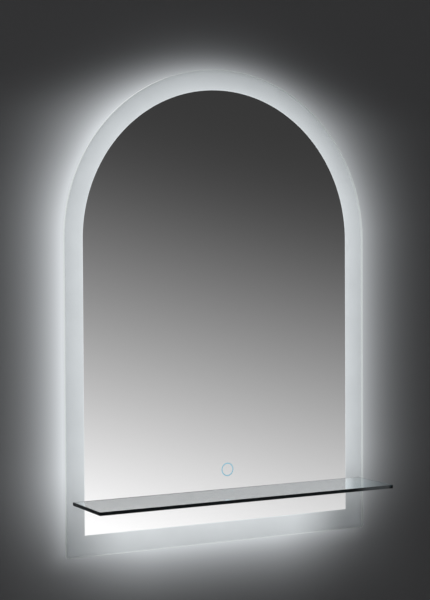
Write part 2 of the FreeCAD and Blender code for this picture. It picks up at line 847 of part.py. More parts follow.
def terminal_box():
    """The box in which the supply cable ends, with its terminal block."""
    x = grommet_x
    z = driver_level
    half = terminal_box_width / 2
    right = x + terminal_box_length / 2
    thin = signal_lead_radius + lead_clearance
    thick = supply_lead_radius + lead_clearance
    holes = [
        rod(thick, Vector(right, supply_level(), z), -RIGHT, driver_wall),
        rod(thin, Vector(x, supply_level(), z + half), -UP, driver_wall),
        rod(cable_radius, Vector(x, supply_level(), z - half), UP, driver_wall),
    ]
    size = (x, z, terminal_box_length, terminal_box_width)
    lid, screws = case_lid(*size)
    block_rear = case_rear - driver_wall
    block_front = block_rear - block_depth
    block = centred_box(x, z, block_length, block_width, (block_front, block_rear))
    block_screws = []
    screw = pan_screw(block_screw_radius, block_screw_length, block_screw_radius, tapping_head_height)
    for dx in (-block_screw_pitch / 2, block_screw_pitch / 2):
        mouth = Vector(x + dx, supply_level(), z - block_width / 2)
        bore = rod(block_bore_radius, mouth, UP, block_width / 4)
        block = block.cut(bore)
        seat = Vector(x + dx, block_front + tapping_head_height, z)
        shaft = rod(block_screw_radius + screw_hole_gap, seat + FORWARD * tapping_head_height, BACKWARD,
                    tapping_head_height + block_screw_length)
        block = block.cut(shaft)
        block_screws.append(placed(screw, seat, FORWARD))
    return {
        "terminal_box": open_case(*size, holes),
        "terminal_lid": lid,
        "terminal_lid_screws": screws,
        "terminal_block": block,
        "terminal_screws": Part.makeCompound(block_screws),
        "terminal_pad": tape_pad(*size),
    }


def stepped_lead(start, end, shares):
    """A thin lead that runs along Z and steps aside between two shares of its way."""
    rise = end.z - start.z
    first = Vector(start.x, start.y, start.z + rise * shares[0])
    last = Vector(end.x, end.y, start.z + rise * shares[1])
    return lead([start, first, last, end], signal_lead_radius)


def leads():
    """The leads between the boxes, the lights, the switch and the demister, and a clip."""
    left = driver_ends()[0]
    places = connector_places()
    reach = connector_size / 2
    block_side = grommet_x + block_length / 2
    supply_end = Vector(left + driver_wall + lead_end, supply_level(), driver_level)
    supply = lead([Vector(block_side, supply_level(), driver_level), supply_end], supply_lead_radius)

    side, below = feed_points()
    side_start = Vector(places["side"][0] + reach, light_level, driver_level)
    side_lead = lead([side_start, side + RIGHT * frame_web], signal_lead_radius)
    lower_start = Vector(lower_lead_x(), light_level, places["lower"][1] - reach)
    lower_lead = stepped_lead(lower_start, below - UP * frame_web, lead_step_shares)

    touch_end = Vector(0, light_level, places["touch"][1] - reach)
    touch_lead = stepped_lead(touch_lead_start(), touch_end, lead_step_shares)

    tail_x, tail_z = tail_centre()
    block_top = Vector(grommet_x, supply_level(), driver_level + block_width / 2)
    tail_depth = coating_rear + demister_thickness + tail_thickness / 2
    tail_low = Vector(tail_x, tail_depth, tail_z - tail_height / 2)
    heater_lead = stepped_lead(block_top, tail_low, heater_step_shares)

    clip_z = below.z + clip_rise
    clip_front = light_level - signal_lead_radius - clip_cap
    clip = centred_box(below.x, clip_z, clip_width, clip_length, (clip_front, back_front))
    bore_start = Vector(below.x, light_level, clip_z - clip_length / 2)
    clip = clip.cut(rod(signal_lead_radius + lead_clearance, bore_start, UP, clip_length))
    return {
        "supply_lead": supply,
        "side_light_lead": side_lead,
        "lower_light_lead": lower_lead,
        "touch_lead": touch_lead,
        "demister_lead": heater_lead,
        "lead_clip": clip,
    }


def main():
    """Builds every piece and writes it to a file of its own."""
    os.makedirs("parts", exist_ok=True)
    groups = (
        glass_plate, coatings, shelf, light_frame, corner_keys, light_strips, hooks,
        back_plate, touch_switch, demister, power_supply, terminal_box, leads,
    )
    for group in groups:
        for name, shape in group().items():
            solids = len(shape.Solids)
            print(f"{name}: {solids} solid(s), {shape.Volume:.1f} mm3, valid {shape.isValid()}")
            shape.exportStep(f"parts/{name}.step")


main()
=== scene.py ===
"""Looks of the lighted bathroom mirror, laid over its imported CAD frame. Lengths are in metres."""

import math

import bpy
from bpy.props import FloatProperty
from bpy.props import FloatVectorProperty
from bpy.props import PointerProperty
from mathutils import Matrix
from mathutils import Vector


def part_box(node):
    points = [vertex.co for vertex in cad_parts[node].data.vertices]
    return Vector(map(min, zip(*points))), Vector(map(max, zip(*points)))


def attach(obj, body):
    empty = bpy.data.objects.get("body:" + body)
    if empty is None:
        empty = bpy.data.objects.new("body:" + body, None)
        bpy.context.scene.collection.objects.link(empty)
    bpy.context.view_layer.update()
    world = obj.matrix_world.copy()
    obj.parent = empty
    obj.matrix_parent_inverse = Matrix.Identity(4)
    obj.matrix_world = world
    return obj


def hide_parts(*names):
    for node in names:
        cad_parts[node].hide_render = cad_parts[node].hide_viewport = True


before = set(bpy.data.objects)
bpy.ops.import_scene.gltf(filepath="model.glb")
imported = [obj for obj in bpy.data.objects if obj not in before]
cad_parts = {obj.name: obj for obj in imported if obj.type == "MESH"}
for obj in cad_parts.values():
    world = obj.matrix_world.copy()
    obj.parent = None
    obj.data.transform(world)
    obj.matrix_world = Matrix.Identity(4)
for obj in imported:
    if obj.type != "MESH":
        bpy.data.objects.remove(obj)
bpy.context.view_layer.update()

bl_info = {
    "name": "Lighted bathroom mirror",
    "version": (1, 0, 0),
    "blender": (4, 5, 0),
    "location": "3D Viewport > Sidebar > Mirror",
    "description": "Films, finishes and studio for an arched mirror with a lit border and a glass shelf",
    "category": "Object",
}

plate_low, plate_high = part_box("mirror_glass")
silver_low, silver_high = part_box("silver_coating")
border_low, border_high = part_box("frosted_border")
ring_low, ring_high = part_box("touch_ring")
bond_low, bond_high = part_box("shelf_bond")

plate_half_width = plate_high.x
plate_bottom = plate_low.z
border_width = plate_half_width - silver_high.x
spring_level = plate_high.z - plate_half_width
ring_middle = (ring_low + ring_high) / 2
ring_radius = (ring_high.x - ring_low.x) / 2
mirror_body = "mirror"

# How many sides round outlines have, how near points count as one or as at a corner, and the angles above
# which an edge is rounded and below which it is shaded smooth
arch_sides = 256
ring_sides = 96
same_place = 1e-6
near_corner = 1e-5
sharp_angle = math.radians(40)
smooth_angle = math.radians(30)


# --- Sizes and colours that can be changed in the sidebar ---


def length_setting(name, description, default):
    """A length in the sidebar, in metres."""
    return FloatProperty(name=name, description=description, default=default, unit="LENGTH")


def colour_setting(name, description, default):
    """A colour in the sidebar."""
    return FloatVectorProperty(
        name=name, description=description, subtype="COLOR", size=3, min=0.0, max=1.0, default=default
    )


class MirrorSizes(bpy.types.PropertyGroup):
    """Sizes of the films behind the glass and of the studio"""

    film_gap: length_setting(
        "Film gap", "Distance from the glass to the films, so that their faces don't touch", 0.0001
    )
    border_corner: length_setting("Border corner", "Radius of the etched border's lower corners", 0.0024)
    ring_wall: length_setting("Ring width", "Width of the lit line of the touch ring", 0.0014)
    ring_clearance: length_setting(
        "Ring clearance", "Gap between the lit ring and the window in the silver", 0.0001
    )
    ring_rounding: length_setting("Ring rounding", "Width of the softened edges of the lit ring", 0.00015)
    floor_level: length_setting("Floor level", "Height of the studio floor", -0.66)
    wall_gap: length_setting(
        "Wall gap", "Distance of the backdrop behind the wall side of the mirror", 0.0005
    )


class MirrorColours(bpy.types.PropertyGroup):
    """Colours of the mirror's light, glass and studio"""

    # The etched border's glow is painted as emission and stands in for the strips' light behind it
    border_painted_glow: colour_setting("Border glow", "Light in the etched border", (0.94, 0.98, 1.0))
    strip_light: colour_setting("Strip light", "Light behind the opal covers", (0.925, 0.965, 1.0))
    ring_light: colour_setting("Ring light", "Light of the touch ring", (0.22, 0.47, 0.58))
    shelf_tint: colour_setting("Shelf tint", "The shelf's glass in depth", (0.40, 0.72, 0.78))
    # Near black: partly the glass's tint over its depth, partly painted shade for the dark surroundings
    # its inner reflections show
    shelf_edge: colour_setting("Shelf edge", "The shelf's edges", (0.0001, 0.0003, 0.0004))
    wall_colour: colour_setting("Backdrop", "The backdrop behind the mirror", (0.032, 0.032, 0.033))
    floor_colour: colour_setting("Floor", "The studio floor", (0.80, 0.80, 0.79))


# --- Modelling helpers ---


def clear_selection():
    """Leaves edit mode and deselects every object."""
    if bpy.context.object is not None and bpy.context.object.mode != "OBJECT":
        bpy.ops.object.mode_set(mode="OBJECT")
    bpy.ops.object.select_all(action="DESELECT")


def work_on(piece):
    """Makes one piece the only selected and active object."""
    clear_selection()
    piece.select_set(True)
    bpy.context.view_layer.objects.active = piece


def settle(piece):
    """Puts a piece's place, turn and size into its mesh."""
    work_on(piece)
    bpy.ops.object.transform_apply(location=True, rotation=True, scale=True)


def select_where(piece, kind, test):
    """In edit mode, selects only the vertices, edges or faces for which the test holds."""
    modes = {"VERT": (True, False, False), "EDGE": (False, True, False), "FACE": (False, False, True)}
    bpy.context.tool_settings.mesh_select_mode = modes[kind]
    bpy.ops.mesh.select_all(action="DESELECT")
    bpy.ops.object.mode_set(mode="OBJECT")
    mesh = piece.data
    parts = {"VERT": mesh.vertices, "EDGE": mesh.edges, "FACE": mesh.polygons}[kind]
    found = 0
    for part in parts:
        part.select = bool(test(part))
        found += part.select
    bpy.ops.object.mode_set(mode="EDIT")
    if found == 0:
        raise RuntimeError(f"nothing was found to select on {piece.name}")


def edge_ends(piece, edge):
    """The places of an edge's two ends."""
    return [piece.data.vertices[i].co for i in edge.vertices]


def flat_disc(name, radius, sides, middle):
    """A flat disc that faces the front, in edit mode and all selected."""
    clear_selection()
    upright = (math.pi / 2, 0.0, 0.0)
    bpy.ops.mesh.primitive_circle_add(
        vertices=sides, radius=radius, fill_type="NGON", location=middle, rotation=upright
    )
    piece = bpy.context.object
    piece.name = name
    piece.data.name = name
    settle(piece)
    bpy.ops.object.mode_set(mode="EDIT")
    bpy.ops.mesh.select_all(action="SELECT")
    return piece


def arch_outline(name, half_width, bottom, y):
    """A flat arched sheet at depth y: half a disc on top of a rectangle."""
    piece = flat_disc(name, half_width, arch_sides, (0.0, y, spring_level))
    bpy.ops.mesh.bisect(
        plane_co=(0.0, y, spring_level),
        plane_no=(0.0, 0.0, 1.0),
        use_fill=False,
        clear_inner=True,
    )

    def on_spring_line(edge):
        return all(abs(end.z - spring_level) < same_place for end in edge_ends(piece, edge))

    select_where(piece, "EDGE", on_spring_line)
    bpy.ops.mesh.extrude_region_move(
        TRANSFORM_OT_translate={"value": (0.0, 0.0, bottom - spring_level)}
    )
    bpy.ops.mesh.select_all(action="SELECT")
    bpy.ops.mesh.remove_doubles(threshold=same_place)
    return piece


def thicken(depth):
    """Extrudes the flat sheet being edited by depth along Y and points its faces outwards."""
    bpy.ops.mesh.select_all(action="SELECT")
    bpy.ops.mesh.extrude_region_move(TRANSFORM_OT_translate={"value": (0.0, depth, 0.0)})
    bpy.ops.mesh.select_all(action="SELECT")
    bpy.ops.mesh.remove_doubles(threshold=same_place)
    bpy.ops.mesh.normals_make_consistent(inside=False)
    bpy.ops.object.mode_set(mode="OBJECT")


def flat_ring(name, outer, inner, y):
    """A flat ring at depth y that faces the front, round the middle of the switch."""
    piece = flat_disc(name, outer, ring_sides, (ring_middle.x, y, ring_middle.z))
    bpy.ops.mesh.inset(thickness=outer - inner, use_even_offset=True)
    bpy.ops.mesh.delete(type="FACE")
    return piece


def apply_modifier(piece, kind, **values):
    """Adds a modifier with these values and applies it."""
    work_on(piece)
    modifier = piece.modifiers.new(kind.title(), kind)
    for key, value in values.items():
        setattr(modifier, key, value)
    bpy.ops.object.modifier_apply(modifier=modifier.name)


def round_edges(piece, width, segments=2):
    """Softens the sharp edges of a finished small piece."""
    limit = {"limit_method": "ANGLE", "angle_limit": sharp_angle}
    apply_modifier(piece, "BEVEL", width=width, segments=segments, **limit)
    bpy.ops.object.shade_smooth_by_angle(angle=smooth_angle)


def give(piece, *materials):
    """Sets the material slots of a new piece."""
    piece.data.materials.clear()
    for material in materials:
        piece.data.materials.append(material)


def dress(material, *nodes):
    """Gives CAD nodes a finish through their own material slots."""
    for name in nodes:
        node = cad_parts[name]
        if not node.material_slots:
            raise RuntimeError(f"{name} has no material slot")
        for slot in node.material_slots:
            slot.material = material


# --- Shader helpers ---


def add(tree, kind, **values):
    """A new node with some of its settings."""
    node = tree.nodes.new(kind)
    for key, value in values.items():
        setattr(node, key, value)
    return node


def feed(tree, node, values):
    """Feeds a node's inputs, given by label or place, with sockets, numbers, colours or vectors."""
    for label, value in values.items():
        socket = node.inputs[label]
        if isinstance(value, bpy.types.NodeSocket):
            tree.links.new(value, socket)
        elif isinstance(value, (int, float)):
            socket.default_value = value
        else:
            socket.default_value = (*value[:3], 1.0)[: len(socket.default_value)]


def calculate(tree, operation, *values, clamp=False):
    """A Math node on sockets or numbers. Returns its output."""
    node = add(tree, "ShaderNodeMath", operation=operation, use_clamp=clamp)
    feed(tree, node, dict(enumerate(values)))
    return node.outputs[0]


def product(tree, first, *others):
    """Sockets and numbers multiplied from left to right."""
    for other in others:
        first = calculate(tree, "MULTIPLY", first, other)
    return first


def total(tree, first, *others, clamp=False):
    """Sockets and numbers added from left to right."""
    for other in others:
        first = calculate(tree, "ADD", first, other, clamp=clamp)
    return first


def less(tree, first, second):
    """The first socket or number less the second."""
    return calculate(tree, "SUBTRACT", first, second)


def spread(tree, value, between, levels=(0.0, 1.0), smooth=False):
    """Runs through the two levels while the value runs between two others, and stops at both ends."""
    kind = "SMOOTHSTEP" if smooth else "LINEAR"
    node = add(tree, "ShaderNodeMapRange", clamp=True, interpolation_type=kind)
    limits = {"From Min": between[0], "From Max": between[1], "To Min": levels[0], "To Max": levels[1]}
    feed(tree, node, {"Value": value, **limits})
    return node.outputs["Result"]


def blend_colours(tree, factor, first, second, kind="MIX"):
    """A Mix node on sockets or colours. Returns its output."""
    node = add(tree, "ShaderNodeMix", data_type="RGBA", blend_type=kind)
    feed(tree, node, {0: factor, 6: first, 7: second})
    return node.outputs[2]


def darker(colour, share):
    """The colour at a share of its strength."""
    return tuple(share * channel for channel in colour)


def grey_of(tree, level):
    """A grey of this level."""
    grey = add(tree, "ShaderNodeCombineColor")
    feed(tree, grey, {"Red": level, "Green": level, "Blue": level})
    return grey.outputs[0]


def dim(tree, colour, level):
    """A colour multiplied by a level."""
    return blend_colours(tree, 1.0, colour, grey_of(tree, level), "MULTIPLY")


def object_place(tree):
    """The place on the piece, in the shared frame, in metres."""
    return add(tree, "ShaderNodeTexCoord").outputs["Object"]


def axes(tree, vector):
    """The X, Y and Z of a vector, as outputs."""
    node = add(tree, "ShaderNodeSeparateXYZ")
    feed(tree, node, {0: vector})
    return node.outputs


def noise(tree, scale, detail=3.0, roughness=0.5, place=None):
    """A Noise Texture on the piece, or on another place. Returns its value from 0 to 1."""
    node = add(tree, "ShaderNodeTexNoise")
    place = object_place(tree) if place is None else place
    feed(tree, node, {"Vector": place, "Scale": scale, "Detail": detail, "Roughness": roughness})
    return node.outputs["Fac"]


def cells(tree, scale):
    """A Voronoi Texture on the piece. Returns the distance to the middle of the nearest cell."""
    node = add(tree, "ShaderNodeTexVoronoi")
    feed(tree, node, {"Vector": object_place(tree), "Scale": scale})
    return node.outputs["Distance"]


def long_side(tree, first, second):
    """The length of the long side over two short sides at a right angle."""
    squares = total(tree, product(tree, first, first), product(tree, second, second))
    return calculate(tree, "SQRT", squares)


def above_spring(tree, height):
    """How far a height is above the level where the arch begins."""
    return calculate(tree, "MAXIMUM", less(tree, height, spring_level), 0.0)


def falling_light(tree, distance, reach, peak):
    """Light that fades with distance past an edge, and again well inside it."""
    growth_end = -0.003
    well_inside = (-0.10, -0.02)
    outside = calculate(tree, "MAXIMUM", distance, growth_end)
    power = calculate(tree, "DIVIDE", outside, reach)
    faded = calculate(tree, "EXPONENT", product(tree, power, -1.0))
    inside = spread(tree, distance, well_inside, smooth=True)
    return product(tree, faded, peak, inside)


# --- Shared effects: each function fills a node group with the sockets that the table below names ---


def tone_drift(tree, colour, amount, scale):
    """Colour that drifts a little lighter and darker over the surface."""
    centred = less(tree, noise(tree, scale, 4.0), 0.5)
    swing = product(tree, centred, amount, 2.0)
    return {"Colour": dim(tree, colour, total(tree, swing, 1.0))}


def surface_grain(tree, roughness, variation, scale):
    """Fine grain: a roughness that varies, and a height for bumps."""
    fine = noise(tree, scale, 2.0)
    broad = noise(tree, product(tree, scale, 0.06))
    swing = product(tree, less(tree, total(tree, fine, broad), 1.0), variation)
    return {"Roughness": total(tree, swing, roughness, clamp=True), "Height": fine}


def drawn_lines(tree, strength):
    """Long fine lines, as brushing and drawing leave on metal. They run along X."""
    stretched = add(tree, "ShaderNodeVectorMath", operation="MULTIPLY")
    feed(tree, stretched, {0: object_place(tree), 1: (0.02, 1.0, 1.0)})
    lines = noise(tree, 1600.0, 4.0, 0.7, stretched.outputs[0])
    return {"Lines": product(tree, less(tree, lines, 0.5), strength), "Height": lines}


def handling_marks(tree, amount, scale):
    """A mask of scattered soft marks, as handling and dust leave. 1 is marked."""
    patches = spread(tree, noise(tree, scale, 6.0, 0.65), (0.52, 0.72), smooth=True)
    return {"Mask": product(tree, patches, amount)}


def plate_edge(tree):
    """Distance from the plate's outer edge, how near a lower corner is, and the place on the plate."""
    # The stretches from the side and from the foot over which the strips' light gives out
    base_strip_end = (0.115, 0.005)
    side_strip_end = (0.125, 0.0)
    base_strip_shift = 0.013
    place = axes(tree, object_place(tree))
    from_side = less(tree, plate_half_width, long_side(tree, place["X"], above_spring(tree, place["Z"])))
    from_base = less(tree, place["Z"], plate_bottom)

    # Near a lower corner both strips end, the one below a little to the left of the middle
    off_middle = calculate(tree, "ABSOLUTE", total(tree, place["X"], base_strip_shift))
    from_end = less(tree, plate_half_width, off_middle)
    beyond_base_strip = spread(tree, from_end, base_strip_end, smooth=True)
    below_side_strip = spread(tree, from_base, side_strip_end, smooth=True)
    return {
        "Distance": calculate(tree, "MINIMUM", from_side, from_base),
        "Corner": product(tree, beyond_base_strip, below_side_strip),
        "Height": place["Z"],
        "Across": place["X"],
    }


def wall_halo(tree):
    """Level of the strips' light on the backdrop, painted as a glow that fades away from the plate."""
    # The stretches of height and width over which the light changes, and how far and strong it shines
    halo_shift = 0.004
    narrowing = (0.10, 0.22)
    weakening = (0.08, 0.19)
    left_part = (-0.04, -0.16)
    upper_part = (0.05, 0.13)
    right_part = (0.12, 0.19)
    shoulder = (-0.05, 0.04)
    side_foot = (-0.557, -0.390)
    base_end = (0.283, 0.096)
    broad_top = (-0.10, 0.30)
    base_reach = 0.0325
    base_peak = 0.62
    broad_reach = 0.05
    broad_peak = 0.095
    place = axes(tree, object_place(tree))
    across = less(tree, place["X"], halo_shift)
    height = place["Z"]
    beyond_side = less(tree, long_side(tree, across, above_spring(tree, height)), plate_half_width)
    below_base = less(tree, plate_bottom, height)

    # Light of the strips at the sides and round the arch, which narrows and weakens above the sides
    reach = spread(tree, height, narrowing, (0.035, 0.016), smooth=True)
    peak = spread(tree, height, weakening, (0.545, 0.37), smooth=True)
    left_rim = spread(tree, across, left_part, (0.0, 0.15))
    upper_left = product(tree, left_rim, spread(tree, height, upper_part))
    right_rim = spread(tree, across, right_part, (0.0, 0.14))
    right_shoulder = product(tree, right_rim, spread(tree, height, shoulder))
    tilt = less(tree, total(tree, 1.0, upper_left), right_shoulder)
    side = falling_light(tree, beyond_side, reach, product(tree, peak, tilt))
    side = product(tree, side, spread(tree, height, side_foot, smooth=True))

    # Light of the strip below, which ends before the corners
    off_middle = calculate(tree, "ABSOLUTE", across)
    base = falling_light(tree, below_base, base_reach, base_peak)
    base = product(tree, base, spread(tree, off_middle, base_end, smooth=True))

    # Broad faint light round the lower part
    past_side = calculate(tree, "MAXIMUM", beyond_side, 0.0)
    past_base = calculate(tree, "MAXIMUM", below_base, 0.0)
    broad = falling_light(tree, long_side(tree, past_side, past_base), broad_reach, broad_peak)
    broad = product(tree, broad, spread(tree, height, broad_top, (1.0, 0.0)))
    return {"Level": total(tree, side, base, broad)}


# Each shared effect: what fills it, its inputs with their usual values, and its outputs
effects = {
    "Tone drift": (tone_drift, {"Colour": (0.5, 0.5, 0.5, 1.0), "Amount": 0.1, "Scale": 20.0}, ["Colour"]),
    "Surface grain": (
        surface_grain,
        {"Roughness": 0.5, "Variation": 0.1, "Scale": 800.0},
        ["Roughness", "Height"],
    ),
    "Drawn lines": (drawn_lines, {"Strength": 1.0}, ["Lines", "Height"]),
    "Handling marks": (handling_marks, {"Amount": 0.5, "Scale": 30.0}, ["Mask"]),
    "Distance from the plate edge": (plate_edge, {}, ["Distance", "Corner", "Height", "Across"]),
    "Wall halo": (wall_halo, {}, ["Level"]),
}


def build_effect(name):
    """Builds a shared effect as a node group with named inputs and outputs."""
    fill, inputs, outputs = effects[name]
    tree = bpy.data.node_groups.new(name, "ShaderNodeTree")
    for direction, labels in (("INPUT", inputs), ("OUTPUT", outputs)):
        for label in labels:
            kind = "NodeSocketColor" if label == "Colour" else "NodeSocketFloat"
            socket = tree.interface.new_socket(name=label, in_out=direction, socket_type=kind)
            if direction == "INPUT":
                socket.default_value = inputs[label]
    start = add(tree, "NodeGroupInput")
    results = fill(tree, *[start.outputs[label] for label in inputs])
    feed(tree, add(tree, "NodeGroupOutput"), results)
    return tree


def effect(tree, name, **values):
    """Places a shared effect in a material with its own values. Returns its outputs."""
    group = bpy.data.node_groups.get(name)
    if group is None:
        group = build_effect(name)
    node = add(tree, "ShaderNodeGroup", node_tree=group)
    feed(tree, node, values)
    return node.outputs


def drifting(tree, colour, amount, scale):
    """A colour that drifts a little over the surface."""
    return effect(tree, "Tone drift", Colour=colour, Amount=amount, Scale=scale)["Colour"]


def grain_of(tree, roughness, variation, scale):
    """Fine grain, as the outputs Roughness and Height."""
    return effect(tree, "Surface grain", Roughness=roughness, Variation=variation, Scale=scale)


def marks_on(tree, amount, scale):
    """The mask of handling marks."""
    return effect(tree, "Handling marks", Amount=amount, Scale=scale)["Mask"]


# --- What the finishes are built with ---


def new_finish(name, metallic=0.0, roughness=0.5):
    """A material with one plain Principled shader. Returns the material, its tree and the shader."""
    material = bpy.data.materials.new(name)
    material.use_nodes = True
    tree = material.node_tree
    shader = tree.nodes["Principled BSDF"]
    feed(tree, shader, {"Metallic": metallic, "Roughness": roughness})
    return material, tree, shader


def made_once(build):
    """A finish that is built when it is first asked for and found by its name after that."""

    def find_or_build(name, *values, **settings):
        if name in bpy.data.materials:
            return bpy.data.materials[name]
        return build(name, *values, **settings)

    return find_or_build


def add_glow(tree, shader, colour, level, strength=1.0):
    """Feeds light of one colour, whose level varies over the surface, to the shader's emission."""
    feed(tree, shader, {"Emission Color": dim(tree, colour, level), "Emission Strength": strength})


def add_bump(tree, shader, height, strength, distance):
    """Feeds a height through a Bump node to the shader's Normal."""
    bump = add(tree, "ShaderNodeBump")
    feed(tree, bump, {"Strength": strength, "Distance": distance, "Height": height})
    feed(tree, shader, {"Normal": bump.outputs["Normal"]})


@made_once
def solid_finish(
    name,
    colour,
    roughness,
    metallic=0.0,
    drift=0.06,
    drift_scale=18.0,
    variation=0.08,
    grain=900.0,
    bump=0.15,
    depth=0.00005,
    marks=0.0,
    mark_colour=(0.5, 0.5, 0.5),
):
    """A solid material with drifting tone, grain in its gloss, small bumps and handling marks."""
    material, tree, shader = new_finish(name, metallic, roughness)
    base = drifting(tree, colour, drift, drift_scale)
    surface = grain_of(tree, roughness, variation, grain)
    rough = surface["Roughness"]
    if marks > 0.0:
        mark_dulling = 0.25
        worn = marks_on(tree, marks, drift_scale * 2.0)
        base = blend_colours(tree, worn, base, mark_colour)
        rough = total(tree, rough, product(tree, worn, mark_dulling), clamp=True)
    feed(tree, shader, {"Base Color": base, "Roughness": rough})
    add_bump(tree, shader, surface["Height"], bump, depth)
    return material


@made_once
def drawn_metal(name, colour, roughness, strength, marks=0.15):
    """Aluminium with fine lines along X and a little dulling from handling."""
    material, tree, shader = new_finish(name, 1.0, roughness)
    lines = effect(tree, "Drawn lines", Strength=strength)
    lighter = total(tree, product(tree, lines["Lines"], 0.5), 1.0)
    lined = dim(tree, drifting(tree, colour, 0.05, 9.0), lighter)
    worn = marks_on(tree, marks, 25.0)
    dull = blend_colours(tree, worn, lined, darker(colour, 0.7))
    rough = total(tree, product(tree, lines["Lines"], 0.6), roughness)
    rough = total(tree, rough, product(tree, worn, 0.2), clamp=True)
    feed(tree, shader, {"Base Color": dull, "Roughness": rough})
    add_bump(tree, shader, lines["Height"], 0.2, 0.00004)
    return material


# --- Finishes of the glass, the silver and the light ---

# The share of a face's normal along the glass's thickness: an edge up to the first, flat from the second
edge_face = 0.88
flat_face = 0.97

# The stretch across the plate, from the left to the middle, over which the fading high up grows
left_half = (-0.17, 0.0)


def mirror_silver():
    """The silver as it shows through the glass: a clean mirror with very faint hazy patches."""
    material, tree, shader = new_finish("mirror_silver", 1.0, 0.0)
    tone = drifting(tree, (0.935, 0.932, 0.935), 0.006, 4.0)
    feed(tree, shader, {"Base Color": tone, "Roughness": marks_on(tree, 0.004, 14.0)})
    return material


def etched_glow():
    """The etched border: pale frosted glass. Its glow from the light behind it is painted as emission."""
    material, tree, shader = new_finish("etched_glow", 0.0, 0.55)
    tone = drifting(tree, (0.24, 0.26, 0.275), 0.03, 60.0)
    grain = grain_of(tree, 0.55, 0.06, 3000.0)
    feed(tree, shader, {"Base Color": tone, "Roughness": grain["Roughness"]})
    add_bump(tree, shader, grain["Height"], 0.1, 0.00002)

    # Painted glow, brighter inwards, with a painted bright line along the inner rim and along the outer
    # arris
    band = (0.0, border_width - 0.001)
    inner_rim = (border_width - 0.0012, border_width - 0.0003)
    outer_arris = (0.0012, 0.0004)
    edge = effect(tree, "Distance from the plate edge")
    body = spread(tree, edge["Distance"], band, (0.340, 0.502))
    rim = spread(tree, edge["Distance"], inner_rim, (0.0, 0.14), smooth=True)
    arris = spread(tree, edge["Distance"], outer_arris, (0.0, 0.12), smooth=True)

    # The painted glow is weaker high up, most of all outwards and on the right, and changes a little down
    # the sides
    upper_part = (-0.08, 0.16)
    foot = (-0.49, -0.42)
    side_height = (-0.42, -0.10)
    high = spread(tree, edge["Height"], upper_part, (0.0, 0.42), smooth=True)
    high = product(tree, high, spread(tree, edge["Across"], left_half, (0.3, 1.0)))
    outer = spread(tree, edge["Distance"], (border_width, 0.0), (0.2, 1.0))
    top_fade = less(tree, 1.0, product(tree, high, outer))
    low_side = spread(tree, edge["Height"], foot, (1.06, 0.87), smooth=True)
    side_gain = total(tree, low_side, spread(tree, edge["Height"], side_height, (0.0, 0.10)))
    corner_fade = spread(tree, edge["Corner"], (0.0, 1.0), (1.0, 0.02))
    patchy = spread(tree, noise(tree, 26.0, 2.0), (0.3, 0.7), (0.965, 1.035))
    level = product(tree, total(tree, body, rim, arris), top_fade, side_gain, corner_fade, patchy)
    add_glow(tree, shader, bpy.context.scene.mirror_colours.border_painted_glow, level)
    return material


def plate_glass():
    """Clear plate: only its surface mirror shows in front, and its ground edges look pale green, with a
    painted glow.
    """
    material, tree, shader = new_finish("plate_glass", 0.0, 0.02)
    geometry = add(tree, "ShaderNodeNewGeometry").outputs
    facing = axes(tree, geometry["True Normal"])
    side = spread(tree, calculate(tree, "ABSOLUTE", facing["Y"]), (flat_face, edge_face))
    ground = drifting(tree, (0.20, 0.225, 0.22), 0.08, 120.0)
    fresnel = add(tree, "ShaderNodeFresnel")
    feed(tree, fresnel, {"IOR": 1.45})
    clear = total(tree, fresnel.outputs[0], marks_on(tree, 0.006, 9.0), clamp=True)
    clear = product(tree, clear, less(tree, 1.0, geometry["Backfacing"]))
    looks = {
        "Base Color": blend_colours(tree, side, (0.96, 0.96, 0.96), ground),
        "Metallic": spread(tree, side, (0.0, 1.0), (1.0, 0.0)),
        "Alpha": total(tree, clear, product(tree, side, 0.8), clamp=True),
        "Roughness": product(tree, grain_of(tree, 0.16, 0.10, 900.0)["Roughness"], side),
    }
    feed(tree, shader, looks)

    # Painted glow on the ground edges, standing in for the border's light in them, weaker in the lower
    # corners and high up
    upper_part = (-0.10, 0.18)
    edge = effect(tree, "Distance from the plate edge")
    corner_fade = spread(tree, edge["Corner"], (0.0, 1.0), (0.47, 0.03))
    high = spread(tree, edge["Height"], upper_part, (0.0, 0.58), smooth=True)
    high = product(tree, high, spread(tree, edge["Across"], left_half, (0.4, 1.0)))
    add_glow(tree, shader, (0.93, 0.98, 0.98), product(tree, corner_fade, less(tree, 1.0, high), side))
    return material


